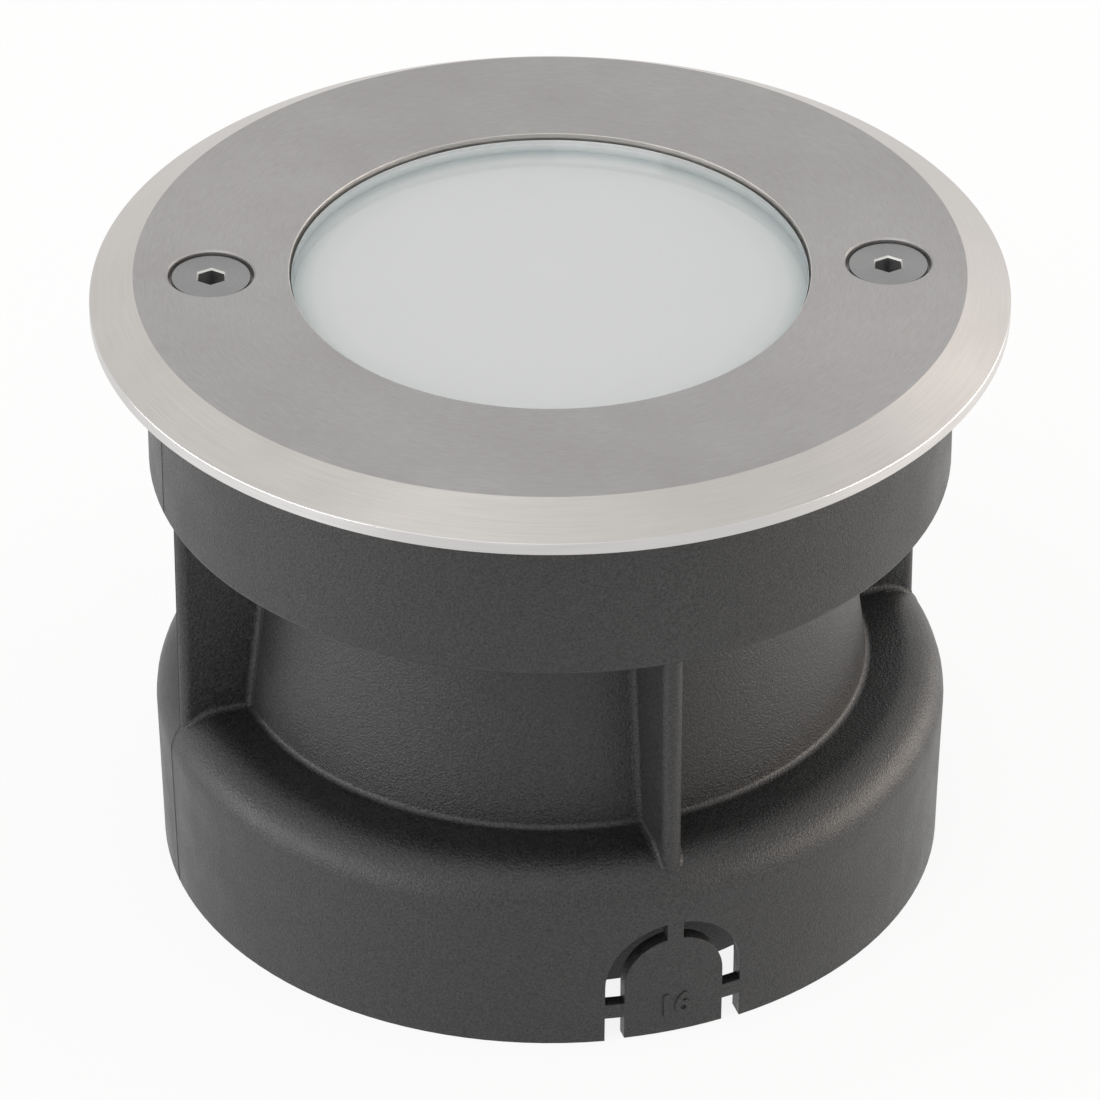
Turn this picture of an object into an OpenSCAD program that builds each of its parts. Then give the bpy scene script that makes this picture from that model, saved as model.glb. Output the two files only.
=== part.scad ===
/* [Trim ring] */
// Outside diameter of the stainless steel trim ring
trim_d = 110; // [104:1:130]
// Thickness of the trim ring
trim_t = 4.5; // [4.2:0.1:5.5]
// Width of the sloping edge, seen from above
trim_bevel_w = 5.25; // [3:0.25:6]
// Height of the plain band under the sloping edge
trim_band_h = 1.5; // [1:0.1:2.5]
// How far the trim ring stands out past the collar under it
trim_overhang = 6.5; // [4:0.5:9]
// Edge break on the rim of the opening
trim_edge_break = 0.25; // [0.1:0.05:0.4]
// Gasket under the trim ring, thickness
trim_gasket_t = 0.8; // [0.5:0.1:1]
// Gasket under the trim ring, width
trim_gasket_w = 2; // [1:0.1:2.2]

/* [Trim screws] */
// Distance from the outside of the collar to the middle of a trim screw
screw_inset = 8.1; // [7.8:0.1:8.6]
// Least wall between a countersink and the recess over the clamp ring
land_wall = 0.6; // [0.5:0.1:1.2]
// Direction of the line through the two trim screws
screw_turn = -16; // [-30:1:30]
// Thread diameter of a trim screw
screw_d = 5; // [4:0.1:5.4]
// Length of a trim screw, countersunk head included
screw_len = 20; // [17:0.5:21]
// Diameter of the countersunk head
screw_head_d = 9.5; // [8.5:0.1:9.8]
// Width across flats of the hexagon socket
screw_key = 3; // [2.5:0.1:4]
// Depth of the hexagon socket
screw_socket_h = 2.2; // [1:0.1:2.6]
// How deep the head sits below the top of the trim ring
screw_drop = 0.5; // [0.2:0.1:0.8]
// Pitch of the thread on a trim screw
screw_pitch = 0.8; // [0.6:0.1:1]

/* [Cover glass] */
// How deep the glass lies below the top of the trim ring
glass_drop = 1; // [0.5:0.1:1.3]
// Height of the glass above its clamped rim
glass_step_h = 3.2; // [3:0.1:3.6]
// Thickness of the clamped rim
glass_rim_t = 2.8; // [2:0.1:4]
// Width of the clamped rim
glass_rim_w = 3.3; // [2.5:0.1:3.5]
// Edge bevel on the top of the glass
glass_bevel = 0.6; // [0.3:0.1:1]
// Opal diffuser disc, thickness
diffuser_t = 2; // [1:0.1:3]

/* [Mounting sleeve] */
// Height of the sleeve
sleeve_h = 75; // [72:1:90]
// Wall thickness of the collar and of the skirt
sleeve_wall = 2.3; // [1.8:0.1:2.6]
// Height of the collar
collar_h = 21.2; // [19:0.1:23]
// Rounding of the lower edge of the collar
collar_round = 0.6; // [0.3:0.1:1.5]
// How much narrower the skirt is at its foot than at its shoulder, on each side
skirt_draft = 0.5; // [0.2:0.1:1.5]
// Height of the skirt
skirt_h = 25; // [24:0.5:27]
// Rounding of the shoulder
shoulder_round = 5.5; // [3:0.5:7]
// Distance from the outside of the collar to the drum under it
drum_inset = 13.3; // [12.8:0.1:14.5]
// How much wider the drum is at the shoulder than under the collar, on each side
drum_flare = 3.6; // [1.5:0.1:4.3]
// Wall thickness of the drum
drum_wall = 2.2; // [1.8:0.1:2.6]
// How much wider the inner skirt's bore is than the drum's, on each side
inner_skirt_draft = 0.8; // [0.3:0.1:1.4]
// Wall thickness of the inner skirt, which goes on from the drum down to the foot
inner_skirt_wall = 2.2; // [1.6:0.1:2.6]
// Width of a cable window in the inner skirt
cable_window_w = 14; // [10:0.5:18]
// Height of a cable window
cable_window_h = 12; // [8:0.5:16]
// Fillet in the inside corners of the moulding
fillet = 0.8; // [0.4:0.1:1.2]
// Number of outer ribs between collar and skirt
rib_count = 4; // [4:2:8]
// Thickness of an outer rib
rib_t = 2.4; // [1.6:0.1:3]
// How far the edge of a rib stays inside the collar
rib_setback = 1.2; // [0.8:0.1:3]

/* [Knock-outs] */
// Outside diameter of the conduit that fits a knock-out
conduit_d = 16; // [14:0.5:18]
// Width of the slot round a knock-out tab
slot_w = 2.35; // [1.8:0.05:3]
// Height of the middle of the conduit above the foot
conduit_mid_h = 7.95; // [7.5:0.05:9]
// Thickness of a knock-out tab
tab_t = 1.5; // [1:0.1:1.7]
// Height of a bridge that holds the tab at its side
bridge_h = 2; // [1:0.1:2.4]
// Height of the open slot under a side bridge
bridge_lift = 3.4; // [2.5:0.1:4]
// Width of the bridge over the tab
bridge_w = 2; // [1:0.1:3]

/* [Lamp housing] */
// Thickness of the housing flange
flange_t = 5.6; // [5:0.1:6]
// Height of the can under the flange
can_h = 34; // [33:0.5:36]
// Wall thickness of the can
can_wall = 2.6; // [2:0.1:2.9]
// Thickness of the can's floor
can_floor_t = 3; // [2.5:0.1:4]
// Height of the driver space inside the can
driver_space_h = 17; // [16:0.5:18]
// Wall thickness of the can between the fins
fin_root_wall = 2.6; // [2:0.1:3]
// Number of cooling fins round the can
fin_count = 24; // [12:2:30]
// Thickness of a fin
fin_t = 1.6; // [1:0.1:2]
// Thickness of the plate part of the clamp ring
clamp_t = 2.6; // [2.5:0.1:3]
// Thickness of the clamp ring's lip over the glass
clamp_lip_t = 1; // [0.8:0.1:1.2]
// Wall of the clamp ring round the glass rim
clamp_wall = 1.7; // [1.2:0.1:2]
// Number of screws in the clamp ring
clamp_screw_count = 6; // [6:6:6]
// Thread diameter of a clamp ring screw
clamp_screw_d = 4; // [3:0.1:4.2]

/* [Light engine] */
// Thickness of the heat sink plate
plate_t = 3.5; // [2:0.1:4.5]
// Thickness of the thermal pad
pad_t = 0.5; // [0.3:0.1:1]
// Distance from the edge of the plate to the light emitting diode board
led_board_inset = 7.3; // [7:0.1:8.5]
// Thickness of the light emitting diode board
led_board_t = 1.6; // [1:0.1:2]
// Least spacing of the light emitting diodes at the inside of their ring
led_pitch = 4.3; // [4:0.1:8]
// Width of one light emitting diode
led_w = 3; // [2.5:0.1:3.5]
// Height of one light emitting diode
led_h = 0.8; // [0.5:0.1:1.5]
// Wall of the reflector
reflector_wall = 1.2; // [0.8:0.1:1.8]
// Distance from the edge of the diode board to the foot of the reflector
reflector_inset = 8; // [7:0.5:9]
// Gap between the round driver board and the wall of the can
driver_gap = 0.5; // [0.3:0.1:1]
// Thickness of the driver board
driver_t = 1.6; // [1:0.1:2]

/* [Cable gland] */
// Thread diameter of the gland where it passes the floor
gland_d = 16; // [15:0.5:17]
// How far the flats of the gland body and its lock nut stand out past the thread
gland_flange_w = 2; // [1.5:0.1:2.5]
// Height of the gland body's hexagon
gland_hex_h = 4.5; // [3:0.1:5]
// Diameter of the lower thread that carries the dome nut
gland_neck_d = 14.4; // [14:0.1:15]
// Length of the lower thread
gland_neck_h = 8; // [7:0.5:8.5]
// Wall of the dome nut at its flats
gland_nut_wall = 2.3; // [1.8:0.1:2.6]
// Diameter of the cable hole in the grommet
cable_hole_d = 7; // [5:0.5:7.6]

/* [Hidden] */
$fn = 96;

// Overrun of a cut past the face it opens
over = 0.5;
// Gap between two pieces of one assembly that do not move
close_gap = 0.1;
// Gap between a loose piece and the wall round it
seat_gap = 0.4;
// Radial gap of a screw or nut that turns on its thread
turn_gap = 0.05;
// Steps in a rounded corner of an outline
round_steps = 8;

// Glass seal: lip over the rim, wall round it, floor under it
seal_lip_t = 0.5;
seal_side_t = 0.5;
seal_floor_t = 2;
seal_w = 4.5;

// Levels, from the top of the trim ring down
trim_top = sleeve_h + trim_t;
glass_top = trim_top - glass_drop;
glass_rim_top = glass_top - glass_step_h;
glass_foot = glass_rim_top - glass_rim_t;
seat_z = glass_foot - seal_floor_t;
clamp_lip_foot = glass_rim_top + seal_lip_t;
clamp_lip_top = clamp_lip_foot + clamp_lip_t;
trim_recess_top = clamp_lip_top + close_gap;
clamp_top = sleeve_h - trim_gasket_t;
flange_top = clamp_top - clamp_t;
flange_foot = flange_top - flange_t;
can_foot = flange_foot - can_h;
can_floor_top = can_foot + can_floor_t;
plate_foot = can_floor_top + driver_space_h;
plate_top = plate_foot + plate_t;
led_board_foot = plate_top + pad_t;
led_board_top = led_board_foot + led_board_t;
diffuser_top = seat_z - close_gap;
diffuser_foot = diffuser_top - diffuser_t;
collar_foot = sleeve_h - collar_h;
ledge_top = collar_foot + sleeve_wall;

// Trim screws
screw_r = screw_d / 2;
screw_root_r = screw_r - screw_pitch / 2;
screw_head_r = screw_head_d / 2;
screw_top = trim_top - screw_drop;
screw_tip = screw_top - screw_len;
screw_head_edge = 0.3;
screw_plain_h = 1;
screw_tip_room = 1;
screw_edge_break = 0.2;
tower_hole_foot = screw_tip - screw_tip_room;
cone_gap = 0.15;
head_hole_r = screw_head_r + seat_gap;
head_hole_h = 1.3;
trim_hole_r = screw_r + cone_gap;
clamp_hole_r = screw_r + seat_gap;
retainer_t = 1.2;
retainer_wall = 1.2;
retainer_room = 0.3;
retainer_in_r = screw_r + turn_gap;
retainer_r = retainer_in_r + retainer_wall;

// Diameters, from the edge of the trim ring in
collar_d = trim_d - 2 * trim_overhang;
screw_circle_d = collar_d - 2 * screw_inset;
screw_land = screw_head_r + cone_gap + screw_head_edge + trim_recess_top - screw_top + land_wall;
opening_inset = screw_land + clamp_wall + close_gap + seal_side_t + glass_rim_w;
trim_opening_d = screw_circle_d - 2 * opening_inset;
drum_top_d = collar_d - 2 * drum_inset;
drum_foot_d = drum_top_d + 2 * drum_flare;
skirt_d = collar_d;
skirt_foot_d = skirt_d - 2 * skirt_draft;

// Radii, from the opening of the trim ring out
screw_circle_r = screw_circle_d / 2;
opening_r = trim_opening_d / 2;
glass_r = opening_r - seat_gap;
glass_rim_r = glass_r + glass_rim_w;
seal_r = glass_rim_r + seal_side_t;
seat_r = seal_r + close_gap;
clamp_lip_r = opening_r + seat_gap;
clamp_collar_r = seat_r + clamp_wall;
trim_recess_r = clamp_collar_r + seat_gap;

// Sleeve
collar_r = collar_d / 2;
collar_bore_r = collar_r - sleeve_wall;
skirt_r = skirt_d / 2;
skirt_foot_r = skirt_foot_d / 2;
drum_top_r = drum_top_d / 2;
drum_foot_r = drum_foot_d / 2;
drum_bore_r = drum_top_r - drum_wall;
drum_lean = (drum_foot_r - drum_top_r) / (collar_foot - skirt_h);
drum_angle = atan(drum_lean);
drum_secant = 1 / cos(drum_angle);
rib_edge_r = collar_r - rib_setback;
inner_skirt_in_r = drum_bore_r + inner_skirt_draft;
inner_skirt_r = inner_skirt_in_r + inner_skirt_wall;
inner_skirt_top = skirt_h + (drum_foot_r - drum_wall - inner_skirt_in_r) / drum_lean;

// Seats inside the collar: plates on edge that carry the housing, and the two screw towers
support_t = 1.8;
support_count = 12;
support_in_r = drum_bore_r + 2 * drum_wall;
tower_wall = 1.2;
tower_web_t = 1.8;
insert_wall = 0.7;
insert_bore_r = screw_d / 2 + turn_gap;
insert_r = insert_bore_r + insert_wall;
tower_hole_r = insert_r + turn_gap;
tower_r = tower_hole_r + tower_wall;

// Knock-outs, front and back
knock_out_gap = 0.5;
knock_out_r = conduit_d / 2 + knock_out_gap;
tab_r = knock_out_r - slot_w;
tab_lift = 0.2;

// Lamp housing
flange_r = collar_bore_r - seat_gap;
can_gap = 1;
can_r = drum_bore_r - can_gap;
light_bore_r = can_r - can_wall;
fin_h = 2.4;
fin_gap_r = can_r - fin_h;
fin_top = plate_foot - can_floor_t / 2;
driver_bore_r = fin_gap_r - fin_root_wall;
plate_r = light_bore_r - close_gap;

// Low-head screws in the clamp ring
clamp_screw_r = clamp_screw_d / 2;
clamp_head_r = 3.5;
clamp_head_h = 1.6;
clamp_head_sink = 1.7;
clamp_key = 2.5;
clamp_key_h = 1.1;
clamp_tip_room = 0.5;
clamp_screw_tip = flange_foot + clamp_tip_room;

// Small screws of the light engine
plate_boss_r = 3.2;
plate_screw_r = 1.5;
plate_screw_len = 8;
plate_screw_head_r = 2.7;
plate_screw_head_h = 1.6;
board_screw_r = 1.25;
board_screw_len = 4;
board_screw_head_r = 2.2;
board_screw_head_h = 1.2;
engine_screw_count = 3;
plate_screw_turn = 0;
plate_circle_r = driver_bore_r - plate_boss_r / 2;
board_screw_turn = 30;
led_board_r = plate_r - led_board_inset;
board_circle_r = led_board_r - board_screw_head_r;
reflector_foot_r = led_board_r - reflector_inset;
led_ring_share = 2 / 3;
led_ring_r = reflector_foot_r * led_ring_share;
led_count = floor(2 * PI * (led_ring_r - led_w) / led_pitch);

// Driver: a round board on posts, its parts placed by shares of its radius
driver_r = driver_bore_r - driver_gap;
post_r = 1.6;
post_h = 5;
post_inset = 2.2;
post_turn = 60;
driver_head_room = 1.9;
driver_part_h = driver_space_h - post_h - driver_t - driver_head_room;
transformer_shares = [-0.38, -0.15];
capacitor_shares = [0.33, 0.3];
terminal_shares = [0.33, -0.28];
driver_foot = can_floor_top + post_h;
driver_top = driver_foot + driver_t;
driver_screw_r = 0.9;
driver_screw_len = 4;
driver_screw_head_r = 1.5;
driver_screw_head_h = 1;
coil_l = 11;
coil_w = 9;
coil_flange_t = 1;
coil_winding_inset = 1.2;
winding_h = driver_part_h - coil_winding_inset;
capacitor_r = 3.2;
capacitor_crimp = 0.4;
capacitor_crimp_h = 1;
terminal_l = 10;
terminal_w = 7.5;
terminal_poles = 2;
terminal_hole_r = 1.4;
terminal_screw_r = 1.6;
terminal_screw_sink = 0.8;
lead_r = 0.6;
lead_spacing = 4;
lead_inset = 1.2;
lead_out = reflector_foot_r - lead_inset;
lead_gap = 0.2;
lead_hole_r = 1.6;

// Cable gland
gland_r = gland_d / 2 - close_gap;
gland_key = gland_d + 2 * gland_flange_w;
gland_nut_key = gland_neck_d + 2 * gland_nut_wall;
gland_neck_r = gland_neck_d / 2;
gland_bore_r = 4.2;
gland_washer_t = 1;
gland_washer_w = 2.4;
lock_nut_t = 3;
gland_stem_over = 0.6;
gland_hex_foot = can_foot - gland_washer_t - gland_hex_h;
gland_neck_foot = gland_hex_foot - gland_neck_h;
grommet_r = 5.7;
grommet_h = 7.4;
gland_nut_floor = 2;
gland_nut_top_gap = 0.3;
gland_nut_mouth_r = 4.4;
gland_nut_round = 2;
gland_nut_foot = gland_neck_foot - gland_nut_floor;
cable_hole_r = cable_hole_d / 2;

// Gasket under the trim ring
trim_gasket_r = flange_r - close_gap;

// Points on an arc from one angle to another
function arc(x, y, r, from, to) = [
    for (i = [0:round_steps])
        let (a = from + (to - from) * i / round_steps)
            [x + r * cos(a), y + r * sin(a)]
];

// Radius of the outside of the drum at a height
function drum_r(z) = drum_foot_r - (z - skirt_h) * drum_lean;

// Flat width across the corners of a hexagon, as a radius
function hex_r(key) = key / 2 / cos(30);

module ring(r_out, r_in, z0, z1) {
    translate([0, 0, z0])
        difference() {
            cylinder(r = r_out, h = z1 - z0);
            translate([0, 0, -over])
                cylinder(r = r_in, h = z1 - z0 + 2 * over);
        }
}

module rod(r, z0, z1) {
    translate([0, 0, z0])
        cylinder(r = r, h = z1 - z0);
}

module hexagon(key, z0, z1) {
    translate([0, 0, z0])
        cylinder(r = hex_r(key), h = z1 - z0, $fn = 6);
}

module at_trim_screws() {
    for (side = [0, 180])
        rotate([0, 0, screw_turn + side])
            translate([screw_circle_r, 0, 0])
                children();
}

module at_clamp_screws() {
    for (i = [0:clamp_screw_count - 1])
        rotate([0, 0, screw_turn + (i + 0.5) * 360 / clamp_screw_count])
            translate([screw_circle_r, 0, 0])
                children();
}

module at_plate_screws() {
    for (i = [0:engine_screw_count - 1])
        rotate([0, 0, plate_screw_turn + i * 360 / engine_screw_count])
            translate([plate_circle_r, 0, 0])
                children();
}

module at_board_screws() {
    for (i = [0:engine_screw_count - 1])
        rotate([0, 0, board_screw_turn + i * 360 / engine_screw_count])
            translate([board_circle_r, 0, 0])
                children();
}

module at_driver_posts() {
    for (i = [0:engine_screw_count - 1])
        rotate([0, 0, post_turn + i * 360 / engine_screw_count])
            translate([driver_r - post_inset, 0, 0])
                children();
}

module on_driver(shares) {
    translate([driver_r * shares[0], driver_r * shares[1], driver_top])
        children();
}

module at_leads() {
    for (side = [-0.5, 0.5])
        translate([side * lead_spacing, lead_out, 0])
            children();
}

// Mounting sleeve: one moulding of collar, drum, ribs, skirt and inner skirt, with two knock-outs in the
// skirt and two cable windows in the inner skirt
module sleeve_outside() {
    foot_fillet_x = drum_r(skirt_h + fillet) + fillet * drum_secant;
    top_fillet_x = drum_r(collar_foot - fillet) + fillet * drum_secant;
    rotate_extrude()
        polygon(concat(
            [[0, 0], [skirt_foot_r, 0]],
            arc(skirt_r - shoulder_round, skirt_h - shoulder_round, shoulder_round, 0, 90),
            arc(foot_fillet_x, skirt_h + fillet, fillet, 270, 180 + drum_angle),
            arc(top_fillet_x, collar_foot - fillet, fillet, 180 + drum_angle, 90),
            arc(collar_r - collar_round, collar_foot + collar_round, collar_round, 270, 360),
            [[collar_r, sleeve_h], [0, sleeve_h]]
        ));
}

module sleeve_inside() {
    rotate_extrude() {
        polygon([
            [0, -over],
            [inner_skirt_in_r, -over],
            [inner_skirt_in_r, inner_skirt_top],
            [drum_bore_r, collar_foot],
            [drum_bore_r, ledge_top],
            [collar_bore_r, ledge_top],
            [collar_bore_r, sleeve_h + over],
            [0, sleeve_h + over]
        ]);
        polygon(concat(
            [[inner_skirt_r, -over], [skirt_foot_r - sleeve_wall, -over], [skirt_foot_r - sleeve_wall, 0]],
            arc(skirt_r - shoulder_round, skirt_h - shoulder_round, shoulder_round - sleeve_wall, 0, 90),
            [[inner_skirt_r, skirt_h - sleeve_wall]]
        ));
    }
}

module cable_window() {
    translate([-cable_window_w / 2, -inner_skirt_r - over, -over])
        cube([cable_window_w, inner_skirt_r / 2 + over, cable_window_h + over]);
}

module outer_rib() {
    foot = skirt_h - sleeve_wall;
    translate([0, 0, foot])
        linear_extrude(collar_foot + over - foot)
            union() {
                translate([drum_top_r - drum_wall, -rib_t / 2])
                    square([rib_edge_r - rib_t / 2 - drum_top_r + drum_wall, rib_t]);
                translate([rib_edge_r - rib_t / 2, 0])
                    circle(d = rib_t);
            }
}

// Cross-section of a fillet in a square inside corner, with some material behind both faces
module corner_fillet(r) {
    polygon(concat([[-over, -over], [r, -over]], arc(r, r, r, 270, 180), [[-over, r]]));
}

module rib_fillets() {
    length = (collar_foot - skirt_h) * drum_secant;
    for (side = [0, 1])
        mirror([0, side, 0]) {
            translate([drum_foot_r, rib_t / 2, skirt_h])
                rotate([0, -drum_angle, 0])
                    linear_extrude(length)
                        corner_fillet(fillet);
            translate([drum_foot_r, rib_t / 2, skirt_h])
                rotate([90, 0, 90])
                    linear_extrude(skirt_r - shoulder_round - drum_foot_r)
                        corner_fillet(fillet);
        }
}

module arch(r, foot) {
    translate([-r, foot])
        square([2 * r, conduit_mid_h - foot]);
    translate([0, conduit_mid_h])
        circle(r = r);
}

module knock_out_slots() {
    difference() {
        arch(knock_out_r, -over);
        arch(tab_r, tab_lift);
        translate([-knock_out_r - over, bridge_lift])
            square([2 * (knock_out_r + over), bridge_h]);
        translate([-bridge_w / 2, conduit_mid_h])
            square([bridge_w, 2 * knock_out_r]);
    }
}

module through_the_skirt() {
    rotate([90, 0, 0])
        translate([0, 0, skirt_foot_r - 2 * sleeve_wall])
            linear_extrude(4 * sleeve_wall)
                children();
}

module knock_out() {
    through_the_skirt()
        knock_out_slots();
    intersection() {
        through_the_skirt()
            arch(knock_out_r, -over);
        rod(skirt_foot_r - tab_t, -over, conduit_mid_h + 2 * knock_out_r);
    }
}

module housing_support() {
    foot = collar_foot + sleeve_wall / 2;
    translate([support_in_r, -support_t / 2, foot])
        cube([collar_bore_r + sleeve_wall / 2 - support_in_r, support_t, flange_foot - foot]);
}

module screw_tower() {
    foot = collar_foot + sleeve_wall / 2;
    rod(tower_r, foot, flange_foot);
    translate([0, -tower_web_t / 2, foot])
        cube([collar_bore_r + sleeve_wall / 2 - screw_circle_r, tower_web_t, flange_foot - foot]);
}

module mounting_sleeve() {
    color([0.21, 0.21, 0.21])
        difference() {
            union() {
                difference() {
                    union() {
                        sleeve_outside();
                        for (i = [0:rib_count - 1])
                            rotate([0, 0, i * 360 / rib_count]) {
                                outer_rib();
                                rib_fillets();
                            }
                    }
                    sleeve_inside();
                    for (turn = [0, 180])
                        rotate([0, 0, turn]) {
                            knock_out();
                            rotate([0, 0, 90])
                                cable_window();
                        }
                }
                for (i = [1:support_count - 1])
                    if (i != support_count / 2)
                        rotate([0, 0, screw_turn + i * 360 / support_count])
                            housing_support();
                at_trim_screws()
                    screw_tower();
            }
            at_trim_screws()
                rod(tower_hole_r, tower_hole_foot, flange_foot + over);
        }
}

// Brass inserts set into the two screw towers
module screw_inserts() {
    color([0.72, 0.56, 0.26])
        at_trim_screws()
            ring(insert_r, insert_bore_r, tower_hole_foot, flange_foot);
}

// Lamp housing: die-cast can with a flange that seats in the collar
module lamp_housing() {
    color([0.45, 0.46, 0.47])
        difference() {
            union() {
                rod(flange_r, flange_foot, flange_top);
                rod(can_r, fin_top, flange_foot + over);
                rod(fin_gap_r, can_foot, fin_top + over);
                for (i = [0:fin_count - 1])
                    rotate([0, 0, i * 360 / fin_count])
                        translate([fin_gap_r - fin_root_wall / 2, -fin_t / 2, can_foot])
                            cube([fin_h + fin_root_wall / 2, fin_t, fin_top + over - can_foot]);
            }
            rod(seat_r, seat_z, flange_top + over);
            rod(light_bore_r, plate_foot, seat_z + over);
            difference() {
                rod(driver_bore_r, can_floor_top, plate_foot + over);
                at_plate_screws()
                    difference() {
                        rod(plate_boss_r, can_foot, plate_foot);
                        rod(plate_screw_r, plate_top - plate_screw_len - over, plate_foot + over);
                    }
                at_driver_posts()
                    difference() {
                        rod(post_r, can_foot, driver_foot);
                        rod(driver_screw_r, driver_top - driver_screw_len, driver_foot + over);
                    }
            }
            rod(gland_d / 2, can_foot - over, can_floor_top + over);
            at_trim_screws()
                rod(clamp_hole_r, flange_foot - over, flange_top + over);
            at_clamp_screws()
                rod(clamp_screw_r, clamp_screw_tip, flange_top + over);
        }
}

// Light engine
module heat_sink_plate() {
    color([0.74, 0.75, 0.77])
        difference() {
            rod(plate_r, plate_foot, plate_top);
            at_plate_screws()
                rod(plate_screw_r + close_gap, plate_foot - over, plate_top + over);
            at_board_screws()
                rod(board_screw_r + turn_gap, plate_foot - over, plate_top + over);
            lead_window(plate_foot, plate_top);
        }
}

module lead_window(z0, z1) {
    translate([-lead_spacing, lead_out - lead_hole_r, z0 - over])
        cube([2 * lead_spacing, 2 * lead_hole_r, z1 - z0 + 2 * over]);
}

module plate_screws() {
    color([0.8, 0.8, 0.82])
        at_plate_screws() {
            rod(plate_screw_r, plate_top - plate_screw_len, plate_top + over);
            ring(plate_screw_head_r, plate_screw_r / 2, plate_top, plate_top + plate_screw_head_h);
        }
}

module thermal_pad() {
    color([0.62, 0.66, 0.72])
        difference() {
            rod(led_board_r - pad_t, plate_top, led_board_foot);
            at_board_screws()
                rod(board_screw_r + close_gap, plate_top - over, led_board_foot + over);
            lead_window(plate_top, led_board_foot);
        }
}

module led_board() {
    color([0.93, 0.93, 0.9])
        difference() {
            rod(led_board_r, led_board_foot, led_board_top);
            at_board_screws()
                rod(board_screw_r + close_gap, led_board_foot - over, led_board_top + over);
            at_leads()
                rod(lead_r + lead_gap, led_board_foot - over, led_board_top + over);
        }
}

module led_board_screws() {
    color([0.8, 0.8, 0.82])
        at_board_screws() {
            rod(board_screw_r, led_board_top - board_screw_len, led_board_top + over);
            ring(board_screw_head_r, board_screw_r / 2, led_board_top, led_board_top + board_screw_head_h);
        }
}

module leds() {
    color([0.95, 0.83, 0.35]) {
        for (i = [1:1:led_count])
            rotate([0, 0, i * 360 / led_count])
                translate([led_ring_r - led_w / 2, -led_w / 2, led_board_top])
                    cube([led_w, led_w, led_h]);
        translate([-led_w / 2, -led_w / 2, led_board_top])
            cube([led_w, led_w, led_h]);
    }
}

module led_leads() {
    color([0.75, 0.1, 0.08])
        at_leads()
            rod(lead_r, driver_top, led_board_top + lead_r);
}

module reflector() {
    neck_top = led_board_top + board_screw_head_h + seat_gap;
    mouth_r = plate_r - 2 * reflector_wall;
    rim_foot = diffuser_foot - reflector_wall;
    color([0.96, 0.96, 0.95])
        rotate_extrude()
            polygon([
                [reflector_foot_r, led_board_top],
                [reflector_foot_r + reflector_wall, led_board_top],
                [reflector_foot_r + reflector_wall, neck_top],
                [mouth_r + reflector_wall, rim_foot],
                [plate_r, rim_foot],
                [plate_r, diffuser_foot],
                [mouth_r, diffuser_foot],
                [reflector_foot_r, neck_top]
            ]);
}

module diffuser() {
    color([0.93, 0.96, 0.94])
        rod(plate_r, diffuser_foot, diffuser_top);
}

// Silicone ring folded round the rim of the glass
module glass_seal() {
    color([0.16, 0.16, 0.16])
        rotate_extrude()
            polygon([
                [seal_r - seal_w, seat_z],
                [seal_r, seat_z],
                [seal_r, clamp_lip_foot],
                [clamp_lip_r, clamp_lip_foot],
                [clamp_lip_r, glass_rim_top],
                [glass_rim_r, glass_rim_top],
                [glass_rim_r, glass_foot],
                [seal_r - seal_w, glass_foot]
            ]);
}

// Tempered glass, stepped so that its middle fills the opening of the trim ring
module cover_glass() {
    color([0.81, 0.85, 0.83])
        rotate_extrude()
            polygon([
                [0, glass_foot],
                [glass_rim_r - turn_gap, glass_foot],
                [glass_rim_r - turn_gap, glass_rim_top],
                [glass_r, glass_rim_top],
                [glass_r, glass_top - glass_bevel],
                [glass_r - glass_bevel, glass_top],
                [0, glass_top]
            ]);
}

// Aluminium ring that clamps the glass to the housing
module clamp_ring() {
    color([0.6, 0.61, 0.62])
        difference() {
            rotate_extrude()
                polygon([
                    [seat_r, flange_top],
                    [flange_r - close_gap, flange_top],
                    [flange_r - close_gap, clamp_top],
                    [clamp_collar_r, clamp_top],
                    [clamp_collar_r, clamp_lip_top],
                    [clamp_lip_r, clamp_lip_top],
                    [clamp_lip_r, clamp_lip_foot],
                    [seat_r, clamp_lip_foot]
                ]);
            at_trim_screws() {
                rod(clamp_hole_r, flange_top - over, clamp_top + over);
                rod(retainer_r + close_gap, sleeve_h - retainer_t - retainer_room, sleeve_h);
            }
            at_clamp_screws() {
                rod(clamp_screw_r + close_gap, flange_top - over, clamp_top + over);
                rod(clamp_head_r + close_gap, clamp_top - clamp_head_sink, clamp_top + over);
            }
        }
}

module clamp_screws() {
    head_foot = clamp_top - clamp_head_sink;
    color([0.7, 0.7, 0.72])
        at_clamp_screws()
            difference() {
                union() {
                    rod(clamp_screw_r - turn_gap, clamp_screw_tip, head_foot + clamp_head_h / 2);
                    rod(clamp_head_r, head_foot, head_foot + clamp_head_h);
                }
                hexagon(clamp_key, head_foot + clamp_head_h - clamp_key_h, head_foot + clamp_head_h + over);
            }
}

// Driver
module driver_board() {
    color([0.13, 0.36, 0.2])
        difference() {
            rod(driver_r, driver_foot, driver_top);
            at_plate_screws()
                rod(plate_boss_r + driver_gap, driver_foot - over, driver_top + over);
            at_driver_posts()
                rod(driver_screw_r + close_gap, driver_foot - over, driver_top + over);
        }
}

module driver_screws() {
    color([0.8, 0.8, 0.82])
        at_driver_posts() {
            rod(driver_screw_r - turn_gap, driver_top - driver_screw_len, driver_top + over);
            rod(driver_screw_head_r, driver_top, driver_top + driver_screw_head_h);
        }
}

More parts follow.
